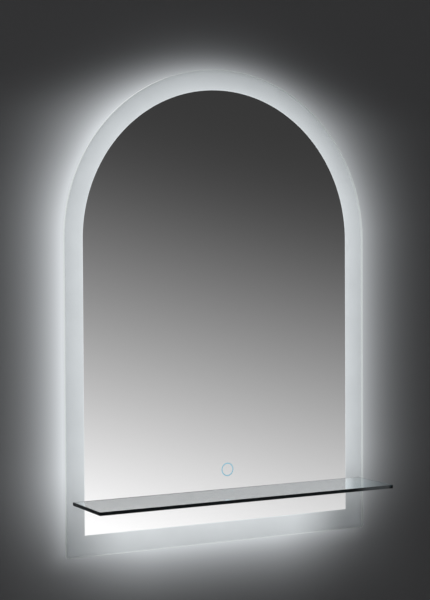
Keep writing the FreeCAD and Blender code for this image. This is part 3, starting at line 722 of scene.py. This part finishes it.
def shelf_clear_glass():
    """Clear float glass, blue-green in depth. Its edges are darkened partly by their tint and partly as
    painted shade, and its top has a painted pale sheen.
    """
    material, tree, shader = new_finish("shelf_clear_glass", 0.0, 0.0)
    colours = bpy.context.scene.mirror_colours
    facing = axes(tree, add(tree, "ShaderNodeNewGeometry").outputs["True Normal"])
    flat = spread(tree, calculate(tree, "ABSOLUTE", facing["Z"]), (edge_face, flat_face))
    clear = drifting(tree, (0.98, 0.99, 0.99), 0.004, 8.0)
    ground = spread(tree, flat, (0.0, 1.0), (0.5, 0.0))
    looks = {
        "Transmission Weight": 1.0,
        "IOR": 1.5,
        "Specular Tint": (0.15, 0.15, 0.15),
        # The edges are near black: partly the glass's tint, partly painted shade
        "Base Color": blend_colours(tree, flat, colours.shelf_edge, clear),
        "Roughness": total(tree, ground, marks_on(tree, 0.02, 22.0)),
    }
    feed(tree, shader, looks)

    # Painted pale sheen on the top, which stops along slanting lines near both ends, and painted light
    # from the border in the right of the edges
    right_slant = 0.655
    left_slant = 0.42
    sheen_run = (-0.2, 0.18)
    sheen_right_end = (0.2165, 0.236)
    sheen_left_end = (-0.236, -0.2165)
    edge_light_start = (0.165, 0.200)
    edge_light_end = (0.231, 0.235)
    place = axes(tree, object_place(tree))
    upward = spread(tree, facing["Z"], (edge_face, flat_face))
    forward = less(tree, plate_low.y, place["Y"])
    right_end = total(tree, place["X"], product(tree, forward, right_slant))
    left_end = total(tree, place["X"], product(tree, forward, left_slant))
    painted_sheen = spread(tree, right_end, sheen_run, (0.066, 0.138))
    right_stop = spread(tree, right_end, sheen_right_end, (1.0, 0.0), smooth=True)
    left_stop = spread(tree, left_end, sheen_left_end, smooth=True)
    edge_start = spread(tree, place["X"], edge_light_start, (0.0, 0.035), smooth=True)
    edge_stop = spread(tree, place["X"], edge_light_end, (1.0, 0.0))
    painted_top_sheen = product(tree, upward, painted_sheen, right_stop, left_stop)
    painted_edge_light = product(tree, edge_start, edge_stop, less(tree, 1.0, flat))
    add_glow(tree, shader, colours.strip_light, total(tree, painted_top_sheen, painted_edge_light))

    volume = add(tree, "ShaderNodeVolumeAbsorption")
    feed(tree, volume, {"Color": colours.shelf_tint, "Density": 6.0})
    feed(tree, tree.nodes["Material Output"], {"Volume": volume.outputs[0]})
    return material


def clear_bond():
    """Clear cured adhesive with a few fine bubbles."""
    material, tree, shader = new_finish("clear_bond", 0.0, 0.12)
    bubbles = cells(tree, 700.0)
    looks = {
        "Base Color": drifting(tree, (0.62, 0.68, 0.67), 0.08, 150.0),
        "Alpha": spread(tree, bubbles, (0.12, 0.20), (0.55, 0.28)),
        "Roughness": spread(tree, bubbles, (0.10, 0.30), (0.30, 0.10)),
    }
    feed(tree, shader, looks)
    return material


def ring_light():
    """Light blue line of the touch ring, with faint unevenness."""
    material, tree, shader = new_finish("ring_light", 0.0, 0.35)
    feed(tree, shader, {"Base Color": drifting(tree, (0.02, 0.05, 0.07), 0.1, 300.0)})
    level = spread(tree, noise(tree, 420.0, 2.0), (0.25, 0.75), (0.88, 1.12))
    add_glow(tree, shader, bpy.context.scene.mirror_colours.ring_light, level)
    return material


def opal_light():
    """Opal cover with the strip's light behind it, dark past the strip's ends."""
    material, tree, shader = new_finish("opal_light", 0.0, 0.4)
    tone = drifting(tree, (0.78, 0.79, 0.78), 0.03, 40.0)
    grain = grain_of(tree, 0.4, 0.08, 1500.0)
    feed(tree, shader, {"Base Color": tone, "Roughness": grain["Roughness"]})
    add_bump(tree, shader, grain["Height"], 0.1, 0.00003)
    corner = effect(tree, "Distance from the plate edge")["Corner"]
    fade = spread(tree, corner, (0.05, 0.55), (1.0, 0.02), smooth=True)
    level = product(tree, fade, spread(tree, noise(tree, 60.0, 2.0), (0.3, 0.7), (0.96, 1.04)))
    add_glow(tree, shader, bpy.context.scene.mirror_colours.strip_light, level, strength=8.0)
    return material


# --- Finishes of the chassis, the electrics and the leads ---

# Each plain finish: its colour and roughness, how much its colour drifts and over what scale, how much
# its gloss varies, the scale of its grain, the strength and depth of its bumps, and its handling marks
plain_finishes = {
    # White powder coat with its fine orange peel, a little dusty and scuffed
    "powder_coat": dict(
        colour=(0.78, 0.785, 0.77), roughness=0.42, drift=0.035, drift_scale=7.0, variation=0.10,
        grain=750.0, bump=0.35, depth=0.00006, marks=0.22, mark_colour=(0.62, 0.615, 0.595),
    ),
    # Grey paint on the back of the silver, with roller texture
    "backing_paint": dict(
        colour=(0.16, 0.17, 0.17), roughness=0.55, drift=0.10, drift_scale=25.0, variation=0.12,
        grain=1400.0, bump=0.3, depth=0.00003, marks=0.3, mark_colour=(0.22, 0.22, 0.21),
    ),
    # Bright zinc on small steel parts, with cloudy patches
    "zinc_plate": dict(
        colour=(0.62, 0.64, 0.67), roughness=0.28, metallic=1.0, drift=0.16, drift_scale=160.0,
        variation=0.12, grain=2500.0, depth=0.00002, marks=0.3, mark_colour=(0.42, 0.42, 0.41),
    ),
    # Brass of the terminal screws, tarnished in patches
    "brass": dict(
        colour=(0.76, 0.56, 0.24), roughness=0.30, metallic=1.0, drift=0.14, drift_scale=200.0,
        variation=0.12, grain=2500.0, marks=0.4, mark_colour=(0.40, 0.27, 0.11),
    ),
    # Copper foil of the touch electrode, with brown tarnish
    "copper_foil": dict(
        colour=(0.78, 0.42, 0.28), roughness=0.32, metallic=1.0, drift=0.12, drift_scale=120.0,
        variation=0.12, grain=2000.0, marks=0.35, mark_colour=(0.42, 0.20, 0.13),
    ),
    # Moulded black rubber with a bloom of dust
    "black_rubber": dict(
        colour=(0.022, 0.022, 0.023), roughness=0.68, drift=0.25, drift_scale=60.0, variation=0.12,
        grain=1800.0, bump=0.35, marks=0.35, mark_colour=(0.075, 0.073, 0.070),
    ),
    # Spark-textured black plastic of the touch switch
    "black_plastic": dict(
        colour=(0.030, 0.031, 0.033), roughness=0.48, drift=0.15, drift_scale=80.0, variation=0.10,
        grain=2600.0, bump=0.4, depth=0.00004, marks=0.2, mark_colour=(0.09, 0.09, 0.09),
    ),
    # Moulded white plastic of the boxes and clips
    "white_plastic": dict(
        colour=(0.74, 0.74, 0.71), roughness=0.38, drift=0.04, drift_scale=30.0, grain=2200.0,
        bump=0.2, depth=0.00003, marks=0.15, mark_colour=(0.58, 0.57, 0.53),
    ),
    # Natural nylon of connectors and terminal block
    "nylon": dict(
        colour=(0.70, 0.68, 0.60), roughness=0.45, drift_scale=90.0, grain=2400.0, bump=0.2,
        depth=0.00003, marks=0.12, mark_colour=(0.55, 0.51, 0.42),
    ),
}


def plain_finish(name):
    """One of the plain finishes, made when it is first asked for."""
    return solid_finish(name, **plain_finishes[name])


def cable_skin(name, colour):
    """Extruded skin of a lead, slightly satin, with faint marks."""
    skin = dict(drift=0.07, drift_scale=70.0, variation=0.10, grain=1500.0, depth=0.00003, marks=0.2)
    return solid_finish(name, colour, 0.42, mark_colour=darker(colour, 0.7), **skin)


def mill_aluminium():
    """Aluminium as it leaves the mill, of the hanging parts and the corner keys."""
    return drawn_metal("mill_aluminium", (0.66, 0.665, 0.67), 0.42, 1.0, 0.3)


@made_once
def foam(name, colour):
    """Closed-cell foam: round pores of a few tenths of a millimetre, painted darker inside as shade."""
    material, tree, shader = new_finish(name, 0.0, 0.85)
    tone = drifting(tree, colour, 0.12, 60.0)
    pores = cells(tree, 1700.0)
    # Painted shade in the pores
    pore_shade = spread(tree, pores, (0.05, 0.45), (0.55, 0.0))
    shaded = blend_colours(tree, pore_shade, tone, darker(colour, 0.35))
    feed(tree, shader, {"Base Color": shaded, "Roughness": spread(tree, pores, (0.0, 0.5), (0.95, 0.75))})
    add_bump(tree, shader, pores, 0.5, 0.00012)
    return material


def tape_foam():
    """White foam of the tapes and pads."""
    return foam("tape_foam", (0.62, 0.62, 0.60))


@made_once
def printed_board(name, mask_colour, track_colour, pitch):
    """Printed board: solder mask with slightly raised tracks and small tinned pads."""
    material, tree, shader = new_finish(name, 0.0, 0.32)
    pattern = add(tree, "ShaderNodeTexBrick")
    lines = {"Scale": 1.0 / pitch, "Mortar Size": 0.06, "Mortar Smooth": 0.1}
    feed(tree, pattern, {"Vector": object_place(tree), **lines})
    tracks = pattern.outputs["Fac"]
    dots = spread(tree, cells(tree, 0.6 / pitch), (0.16, 0.20), (1.0, 0.0))
    tracked = blend_colours(tree, tracks, drifting(tree, mask_colour, 0.08, 45.0), track_colour)
    looks = {
        "Base Color": blend_colours(tree, dots, tracked, (0.66, 0.66, 0.64)),
        "Metallic": dots,
        "Roughness": grain_of(tree, 0.32, 0.10, 1800.0)["Roughness"],
    }
    feed(tree, shader, looks)
    add_bump(tree, shader, total(tree, tracks, dots), 0.25, 0.00006)
    return material


def circuit_board():
    """Green board of the switch and of the power supply."""
    return printed_board("circuit_board", (0.03, 0.17, 0.07), (0.06, 0.27, 0.11), 0.0025)


def heater_film():
    """Clear film with a printed heating track that runs to and fro."""
    material, tree, shader = new_finish("heater_film", 0.0, 0.28)
    bands = add(tree, "ShaderNodeTexWave", wave_type="BANDS", bands_direction="Z")
    feed(tree, bands, {"Vector": object_place(tree), "Scale": 26.0, "Distortion": 0.0})
    track = spread(tree, bands.outputs["Fac"], (0.62, 0.70))
    lined = blend_colours(tree, track, drifting(tree, (0.60, 0.46, 0.20), 0.08, 14.0), (0.52, 0.53, 0.53))
    looks = {
        "Base Color": blend_colours(tree, marks_on(tree, 0.2, 16.0), lined, (0.68, 0.60, 0.42)),
        "Metallic": product(tree, track, 0.9),
        "Roughness": grain_of(tree, 0.28, 0.12, 700.0)["Roughness"],
    }
    feed(tree, shader, looks)
    add_bump(tree, shader, track, 0.3, 0.00008)
    return material


def phosphor():
    """Light chip: yellow phosphor in a white body, glowing."""
    material, tree, shader = new_finish("phosphor", 0.0, 0.35)
    mask = spread(tree, noise(tree, 900.0, 2.0), (0.4, 0.6))
    grain = grain_of(tree, 0.35, 0.08, 3000.0)
    looks = {
        "Base Color": blend_colours(tree, mask, (0.82, 0.70, 0.22), (0.86, 0.80, 0.45)),
        "Emission Color": blend_colours(tree, mask, (1.0, 0.93, 0.75), (1.0, 0.97, 0.88)),
        "Emission Strength": 2.0,
        "Roughness": grain["Roughness"],
    }
    feed(tree, shader, looks)
    add_bump(tree, shader, grain["Height"], 0.1, 0.00002)
    return material


# --- Operators: one for each piece or group of like pieces, and one for the studio ---


class MIRROR_OT_silver(bpy.types.Operator):
    """Models the silver with its ring window and gives it mirror and backing paint"""

    bl_idname = "mirror.silver"
    bl_label = "Silver"

    def execute(self, context):
        sizes = context.scene.mirror_sizes
        front = silver_low.y + sizes.film_gap
        depth = silver_high.y - front
        field = arch_outline("silver_field", silver_high.x, silver_low.z, front)
        thicken(depth)

        window = ring_radius + sizes.ring_clearance
        island = ring_radius - sizes.ring_wall - sizes.ring_clearance
        cutter = flat_ring("ring_window", window, island, front - depth)
        thicken(3 * depth)
        apply_modifier(field, "BOOLEAN", operation="DIFFERENCE", solver="EXACT", object=cutter)
        bpy.data.objects.remove(cutter)

        give(field, mirror_silver(), plain_finish("backing_paint"))
        rearward = 0.5
        for face in field.data.polygons:
            face.material_index = 1 if face.normal.y > rearward else 0
        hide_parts("silver_coating")
        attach(field, mirror_body)
        return {"FINISHED"}


class MIRROR_OT_border(bpy.types.Operator):
    """Models the etched border as an arched band and gives it its painted glow"""

    bl_idname = "mirror.border"
    bl_label = "Etched border"

    def execute(self, context):
        sizes = context.scene.mirror_sizes
        front = border_low.y + sizes.film_gap
        depth = border_high.y - front
        band = arch_outline("etched_band", border_high.x, border_low.z, front)
        bpy.context.tool_settings.mesh_select_mode = (False, False, True)
        bpy.ops.mesh.select_all(action="SELECT")
        width = border_high.x - silver_high.x - sizes.film_gap
        bpy.ops.mesh.inset(thickness=width, use_boundary=True, use_even_offset=True)
        bpy.ops.mesh.delete(type="FACE")

        def at_lower_corner(vertex):
            beside = abs(vertex.co.x) > border_high.x - near_corner
            return beside and vertex.co.z < border_low.z + near_corner

        select_where(band, "VERT", at_lower_corner)
        bpy.ops.mesh.bevel(affect="VERTICES", offset=sizes.border_corner, segments=5)
        thicken(depth)
        give(band, etched_glow())
        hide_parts("frosted_border")
        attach(band, mirror_body)
        return {"FINISHED"}


class MIRROR_OT_ring(bpy.types.Operator):
    """Models the lit ring behind the window in the silver"""

    bl_idname = "mirror.ring"
    bl_label = "Lit ring"

    def execute(self, context):
        sizes = context.scene.mirror_sizes
        front = ring_low.y + sizes.film_gap
        ring = flat_ring("lit_ring", ring_radius, ring_radius - sizes.ring_wall, front)
        thicken(ring_high.y - front)
        round_edges(ring, sizes.ring_rounding)
        give(ring, ring_light())
        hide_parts("touch_ring")
        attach(ring, mirror_body)
        return {"FINISHED"}


class MIRROR_OT_plate(bpy.types.Operator):
    """Gives the glass plate its clear surface and pale green ground edges with a painted glow"""

    bl_idname = "mirror.plate"
    bl_label = "Glass plate"

    def execute(self, context):
        dress(plate_glass(), "mirror_glass")
        return {"FINISHED"}


class MIRROR_OT_shelf(bpy.types.Operator):
    """Models the bond line of the shelf and gives the shelf its glass"""

    bl_idname = "mirror.shelf"
    bl_label = "Glass shelf"

    def execute(self, context):
        clear_selection()
        drawn_share = 0.6
        rounded_share = 0.4
        thickness = (bond_high.y - bond_low.y) * drawn_share
        bpy.ops.mesh.primitive_cube_add(size=1.0, location=(bond_low + bond_high) / 2)
        bond = context.object
        bond.name = "shelf_bond_line"
        bond.data.name = "shelf_bond_line"
        bond.scale = (bond_high.x - bond_low.x, thickness, bond_high.z - bond_low.z)
        settle(bond)

        bpy.ops.object.mode_set(mode="EDIT")
        bpy.ops.mesh.select_all(action="SELECT")
        bpy.ops.mesh.subdivide(number_cuts=1)
        bpy.ops.object.mode_set(mode="OBJECT")
        round_edges(bond, thickness * rounded_share, segments=3)
        give(bond, clear_bond())
        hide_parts("shelf_bond")
        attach(bond, mirror_body)
        dress(shelf_clear_glass(), "shelf_glass")
        # Neither of them shows in the mirror
        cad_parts["shelf_glass"].visible_glossy = False
        bond.visible_glossy = False
        return {"FINISHED"}


class MIRROR_OT_light(bpy.types.Operator):
    """Finishes the light frame, its strips, chips, covers, keys and tape"""

    bl_idname = "mirror.light"
    bl_label = "Light frame"

    def execute(self, context):
        frame_metal = drawn_metal("satin_aluminium", (0.74, 0.745, 0.75), 0.34, 0.6)
        dress(frame_metal, "light_frame_arch", "light_frame_base")
        dress(mill_aluminium(), "corner_keys")
        dress(plain_finish("zinc_plate"), "corner_key_screws")
        dress(tape_foam(), "bond_tape")
        strip = printed_board("strip_board", (0.80, 0.80, 0.77), (0.70, 0.70, 0.66), 0.004)
        dress(strip, "light_strip_arch", "light_strip_base")
        dress(phosphor(), "light_chips_arch", "light_chips_base")
        dress(opal_light(), "opal_cover_arch", "opal_cover_base")
        return {"FINISHED"}


class MIRROR_OT_hanging(bpy.types.Operator):
    """Finishes the wall rail, the cleat and its rivets"""

    bl_idname = "mirror.hanging"
    bl_label = "Hanging parts"

    def execute(self, context):
        dress(mill_aluminium(), "wall_rail", "hanging_cleat")
        dress(plain_finish("zinc_plate"), "cleat_rivets")
        return {"FINISHED"}


class MIRROR_OT_back(bpy.types.Operator):
    """Finishes the back plate, its screws, the feet and the cable grommet"""

    bl_idname = "mirror.back"
    bl_label = "Back cover"

    def execute(self, context):
        dress(plain_finish("powder_coat"), "back_plate")
        dress(plain_finish("zinc_plate"), "back_plate_screws")
        dress(plain_finish("black_rubber"), "wall_feet", "cable_grommet")
        return {"FINISHED"}


class MIRROR_OT_switch(bpy.types.Operator):
    """Finishes the touch switch behind the silver"""

    bl_idname = "mirror.switch"
    bl_label = "Touch switch"

    def execute(self, context):
        dress(plain_finish("black_plastic"), "touch_case", "touch_lid")
        dress(circuit_board(), "touch_board")
        dress(plain_finish("copper_foil"), "touch_electrode")
        dress(foam("switch_foam", (0.05, 0.05, 0.052)), "touch_foam")
        dress(bpy.data.materials["ring_light"], "touch_lights")
        return {"FINISHED"}


class MIRROR_OT_demister(bpy.types.Operator):
    """Finishes the heating film and its tail"""

    bl_idname = "mirror.demister"
    bl_label = "Demister"

    def execute(self, context):
        dress(heater_film(), "demister_pad")
        dress(plain_finish("white_plastic"), "demister_tail")
        return {"FINISHED"}


class MIRROR_OT_power(bpy.types.Operator):
    """Finishes the power supply"""

    bl_idname = "mirror.power"
    bl_label = "Power supply"

    def execute(self, context):
        dress(plain_finish("white_plastic"), "driver_case", "driver_lid")
        dress(plain_finish("zinc_plate"), "driver_lid_screws")
        dress(circuit_board(), "driver_board")
        dress(plain_finish("black_plastic"), "driver_parts")
        dress(plain_finish("nylon"), "driver_connectors")
        dress(tape_foam(), "driver_pad")
        return {"FINISHED"}


class MIRROR_OT_terminals(bpy.types.Operator):
    """Finishes the terminal box"""

    bl_idname = "mirror.terminals"
    bl_label = "Terminal box"

    def execute(self, context):
        dress(plain_finish("white_plastic"), "terminal_box", "terminal_lid")
        dress(plain_finish("zinc_plate"), "terminal_lid_screws")
        dress(plain_finish("nylon"), "terminal_block")
        dress(plain_finish("brass"), "terminal_screws")
        dress(tape_foam(), "terminal_pad")
        return {"FINISHED"}


class MIRROR_OT_leads(bpy.types.Operator):
    """Finishes the leads and their clip"""

    bl_idname = "mirror.leads"
    bl_label = "Leads"

    def execute(self, context):
        dress(cable_skin("grey_cable", (0.30, 0.31, 0.32)), "supply_lead")
        white = cable_skin("white_cable", (0.72, 0.72, 0.70))
        dress(white, "side_light_lead", "lower_light_lead", "touch_lead", "demister_lead")
        dress(plain_finish("white_plastic"), "lead_clip")
        return {"FINISHED"}


class MIRROR_OT_studio(bpy.types.Operator):
    """Sets up the backdrop, floor, light and camera"""

    bl_idname = "mirror.studio"
    bl_label = "Studio"

    def execute(self, context):
        scene = context.scene
        scene.view_settings.view_transform = "Standard"
        build_backdrop(scene)
        build_floor(scene)
        build_world(scene)
        build_lamps()
        build_camera(scene)
        return {"FINISHED"}


# --- The studio ---

studio_width = 8.0


def build_backdrop(scene):
    """A plain wall just behind the mirror, with the strips' halo painted on it as a glow. It shows from
    the front only and lets light through.
    """
    clear_selection()
    gap = scene.mirror_sizes.wall_gap
    bpy.ops.mesh.primitive_plane_add(size=1.0, location=(0, gap, 0), rotation=(math.pi / 2, 0, 0))
    wall = bpy.context.object
    wall.name = "backdrop"
    wall.scale = (studio_width, studio_width, 1.0)
    settle(wall)

    material, tree, shader = new_finish("backdrop_paint", 0.0, 0.9)
    colours = scene.mirror_colours
    feed(tree, shader, {"Base Color": drifting(tree, colours.wall_colour, 0.01, 3.0)})
    feed(tree, shader, {"Specular IOR Level": 0.1})
    # The halo of the strips' light on the wall is painted as emission, not lit by them
    add_glow(tree, shader, colours.strip_light, effect(tree, "Wall halo")["Level"])

    # Reflections show the wall only from further away than this
    near_wall = 0.05
    path = add(tree, "ShaderNodeLightPath").outputs
    geometry = add(tree, "ShaderNodeNewGeometry").outputs
    far = calculate(tree, "GREATER_THAN", path["Ray Length"], near_wall)
    mirrored = product(tree, path["Is Glossy Ray"], far)
    seen = total(tree, path["Is Camera Ray"], mirrored)
    seen = total(tree, seen, path["Is Transmission Ray"], clamp=True)
    shown = product(tree, seen, less(tree, 1.0, geometry["Backfacing"]))
    clear = add(tree, "ShaderNodeBsdfTransparent").outputs[0]
    mix = add(tree, "ShaderNodeMixShader")
    feed(tree, mix, {0: shown, 1: clear, 2: shader.outputs[0]})
    feed(tree, tree.nodes["Material Output"], {"Surface": mix.outputs[0]})
    give(wall, material)


def build_floor(scene):
    """A plain pale floor below the view."""
    clear_selection()
    level = scene.mirror_sizes.floor_level
    bpy.ops.mesh.primitive_plane_add(size=studio_width, location=(0.0, 0.0, level))
    floor = bpy.context.object
    floor.name = "floor"
    settle(floor)
    colour = scene.mirror_colours.floor_colour
    material = solid_finish("floor_paint", colour, 0.8, drift=0.01, drift_scale=2.0, bump=0.05)
    give(floor, material)
    floor.visible_glossy = False
    floor.visible_transmission = False


def build_world(scene):
    """Soft even light. Mirrors and glass see a gradient: in front dark above and pale below, as in a dim
    room, and duller again far below; behind grey below and pale above."""
    slope = (-0.819, 0.0, -2.821)
    middle_level = 0.807
    darkest = 0.216
    softness = 0.19
    far_below = (1.12, 1.85)
    dulled = 0.76
    turning_back = (-0.05, 0.12)
    rear_height = (-0.5, 0.5)
    curve_shift = 0.055
    curve_power = 2.4
    curve_gain = 1.083

    world = bpy.data.worlds.new("studio_world")
    scene.world = world
    world.use_nodes = True
    tree = world.node_tree
    direction = add(tree, "ShaderNodeTexCoord").outputs["Generated"]
    along_slope = add(tree, "ShaderNodeVectorMath", operation="DOT_PRODUCT")
    feed(tree, along_slope, {0: direction, 1: slope})
    level = total(tree, along_slope.outputs["Value"], middle_level)
    soft = calculate(tree, "SMOOTH_MAX", level, darkest, softness)
    capped = calculate(tree, "MINIMUM", soft, 1.0)
    dulling = spread(tree, level, far_below, (1.0, dulled), smooth=True)
    raised = total(tree, product(tree, capped, dulling), curve_shift)
    curved = calculate(tree, "POWER", calculate(tree, "DIVIDE", raised, 1.0 + curve_shift), curve_power)
    front = grey_of(tree, product(tree, curved, curve_gain))

    facing = axes(tree, direction)
    behind = spread(tree, facing["Y"], turning_back, smooth=True)
    height = spread(tree, facing["Z"], rear_height)
    rear = blend_colours(tree, height, (0.42, 0.43, 0.44), (0.95, 0.955, 0.96))
    mirrored = blend_colours(tree, behind, front, rear)
    path = add(tree, "ShaderNodeLightPath").outputs
    gloss = total(tree, path["Is Glossy Ray"], path["Is Transmission Ray"], clamp=True)
    lit = blend_colours(tree, gloss, (0.72, 0.725, 0.73), mirrored)
    seen = blend_colours(tree, path["Is Camera Ray"], lit, (0.90, 0.905, 0.91))
    feed(tree, tree.nodes["Background"], {"Color": seen, "Strength": 1.0})


def add_lamp(name, place, target, size, power):
    """A soft area lamp that no mirror or glass shows."""
    data = bpy.data.lights.new(name, "AREA")
    data.shape = "SQUARE"
    data.size = size
    data.energy = power
    lamp = bpy.data.objects.new(name, data)
    bpy.context.scene.collection.objects.link(lamp)
    lamp.location = place
    lamp.rotation_euler = (Vector(target) - Vector(place)).to_track_quat("-Z", "Y").to_euler()
    lamp.visible_glossy = False
    lamp.visible_transmission = False
    lamp.visible_camera = False


def build_lamps():
    """A large lamp in front above, and a weaker one behind."""
    middle = (0.0, 0.0, -0.17)
    lamp_size = 1.8
    add_lamp("front_lamp", (-1.1, -1.9, 1.2), middle, lamp_size, 16.0)
    add_lamp("back_lamp", (0.9, 1.9, 1.0), middle, lamp_size, 10.0)


def build_camera(scene):
    """The camera at the photograph's viewing angle."""
    yaw = math.radians(28.05)
    pitch = math.radians(-1.56)
    roll = math.radians(-0.27)
    forward = Vector((math.sin(yaw) * math.cos(pitch), math.cos(yaw) * math.cos(pitch), math.sin(pitch)))
    right = Vector((math.cos(yaw), -math.sin(yaw), 0.0))
    up = right.cross(forward)
    turned_right = right * math.cos(roll) + up * math.sin(roll)
    turned_up = up * math.cos(roll) - right * math.sin(roll)
    data = bpy.data.cameras.new("camera")
    data.sensor_width = 36.0
    data.lens = 86.05
    data.clip_start = 0.05
    data.clip_end = 30.0
    camera = bpy.data.objects.new("camera", data)
    scene.collection.objects.link(camera)
    turn = Matrix((turned_right, turned_up, -forward)).transposed()
    camera.rotation_euler = turn.to_euler()
    camera.location = (-1.007, -1.8975, -0.1017)
    scene.camera = camera


# --- Panel, registration and the order of work ---

steps = (
    MIRROR_OT_silver,
    MIRROR_OT_border,
    MIRROR_OT_ring,
    MIRROR_OT_plate,
    MIRROR_OT_shelf,
    MIRROR_OT_light,
    MIRROR_OT_hanging,
    MIRROR_OT_back,
    MIRROR_OT_switch,
    MIRROR_OT_demister,
    MIRROR_OT_power,
    MIRROR_OT_terminals,
    MIRROR_OT_leads,
    MIRROR_OT_studio,
)


class MIRROR_PT_panel(bpy.types.Panel):
    """Lists the mirror's steps, sizes and colours in the sidebar"""

    bl_label = "Lighted mirror"
    bl_idname = "MIRROR_PT_panel"
    bl_space_type = "VIEW_3D"
    bl_region_type = "UI"
    bl_category = "Mirror"

    def draw(self, context):
        layout = self.layout
        for group in (context.scene.mirror_sizes, context.scene.mirror_colours):
            box = layout.box()
            for name in group.__annotations__:
                box.prop(group, name)
        for step in steps:
            layout.operator(step.bl_idname)


classes = (MirrorSizes, MirrorColours, *steps, MIRROR_PT_panel)


def register():
    """Registers the classes and the settings on the scene."""
    for kind in classes:
        bpy.utils.register_class(kind)
    bpy.types.Scene.mirror_sizes = PointerProperty(type=MirrorSizes)
    bpy.types.Scene.mirror_colours = PointerProperty(type=MirrorColours)


def unregister():
    """Removes the settings and the classes again."""
    del bpy.types.Scene.mirror_colours
    del bpy.types.Scene.mirror_sizes
    for kind in reversed(classes):
        bpy.utils.unregister_class(kind)


def main():
    """Builds everything in order."""
    register()
    bpy.ops.mirror.silver()
    bpy.ops.mirror.border()
    bpy.ops.mirror.ring()
    bpy.ops.mirror.plate()
    bpy.ops.mirror.shelf()
    bpy.ops.mirror.light()
    bpy.ops.mirror.hanging()
    bpy.ops.mirror.back()
    bpy.ops.mirror.switch()
    bpy.ops.mirror.demister()
    bpy.ops.mirror.power()
    bpy.ops.mirror.terminals()
    bpy.ops.mirror.leads()
    bpy.ops.mirror.studio()


if __name__ == "__main__":
    main()
